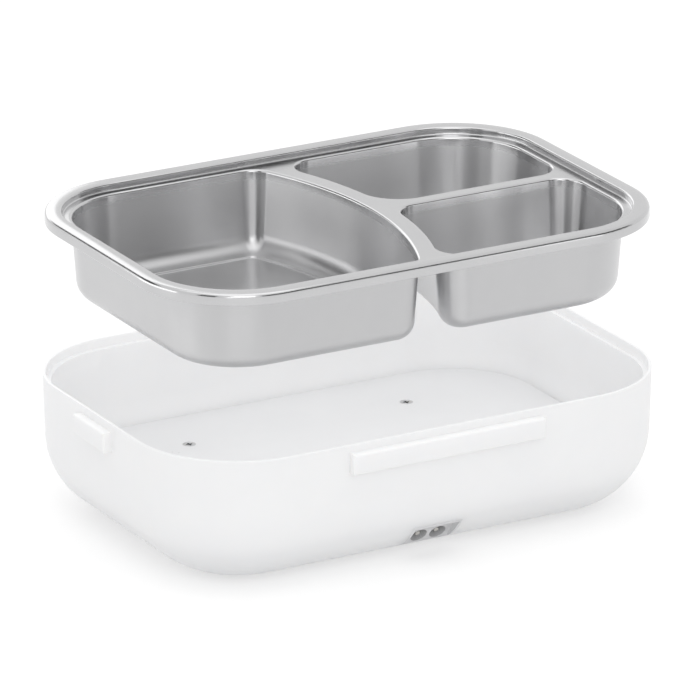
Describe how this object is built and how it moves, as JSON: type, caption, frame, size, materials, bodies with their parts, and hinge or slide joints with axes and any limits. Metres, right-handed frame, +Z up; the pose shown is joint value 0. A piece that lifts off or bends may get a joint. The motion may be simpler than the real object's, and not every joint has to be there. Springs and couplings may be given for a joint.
{
  "type": "electric lunch box",
  "caption": "Rounded white heated casing with catch bars and a recessed grey power inlet, and a lift-out steel food tray divided into bowls, shown raised clear of the casing.",
  "frame": {"origin": "middle of the casing's flat underside", "axes": "+Z up, +X along the length with the large bowl at -X, -Y towards the front with the power inlet"},
  "size_m": [0.2372, 0.1676, 0.1272],
  "materials": {
    "casing_white": "satin",
    "tray_steel": "satin",
    "plate_white": "satin",
    "seal_silicone": "matte",
    "screw_steel": "satin",
    "inlet_grey": "matte",
    "pin_nickel": "polished",
    "sleeve_black": "matte",
    "heater_aluminium": "satin",
    "insulation_amber": "satin",
    "clamp_steel": "satin",
    "thermostat_black": "matte",
    "terminal_nylon": "satin",
    "fuse_metal": "satin",
    "lead_red": "matte",
    "lead_black": "matte",
    "lead_white": "matte"
  },
  "bodies": {
    "heated_casing": {"casing": "casing_white", "floor_plate": "plate_white", "floor_seal": "seal_silicone", "floor_screw_front_left": "screw_steel", "floor_screw_front_right": "screw_steel", "floor_screw_back_left": "screw_steel", "floor_screw_back_right": "screw_steel", "inlet_body": "inlet_grey", "contact_pin_live": "pin_nickel", "contact_pin_neutral": "pin_nickel", "pin_sleeve_live": "sleeve_black", "pin_sleeve_neutral": "sleeve_black", "inlet_screw_left": "screw_steel", "inlet_screw_right": "screw_steel", "heater": "heater_aluminium", "insulation_sheet": "insulation_amber", "heater_clamp": "clamp_steel", "clamp_screw_front": "screw_steel", "clamp_screw_back": "screw_steel", "thermostat": "thermostat_black", "terminal_live": "terminal_nylon", "terminal_link": "terminal_nylon", "thermal_fuse": "fuse_metal", "lead_live": "lead_red", "lead_neutral": "lead_black", "lead_link": "lead_white", "lead_fuse": "lead_white"},
    "lift_out_tray": {"food_tray": "tray_steel"}
  },
  "joints": [
    {"name": "tray_lift", "type": "slide", "parent": "heated_casing", "child": "lift_out_tray", "axis": [0, 0, 1], "range_m": [-0.068, 0.032]}
  ]
}
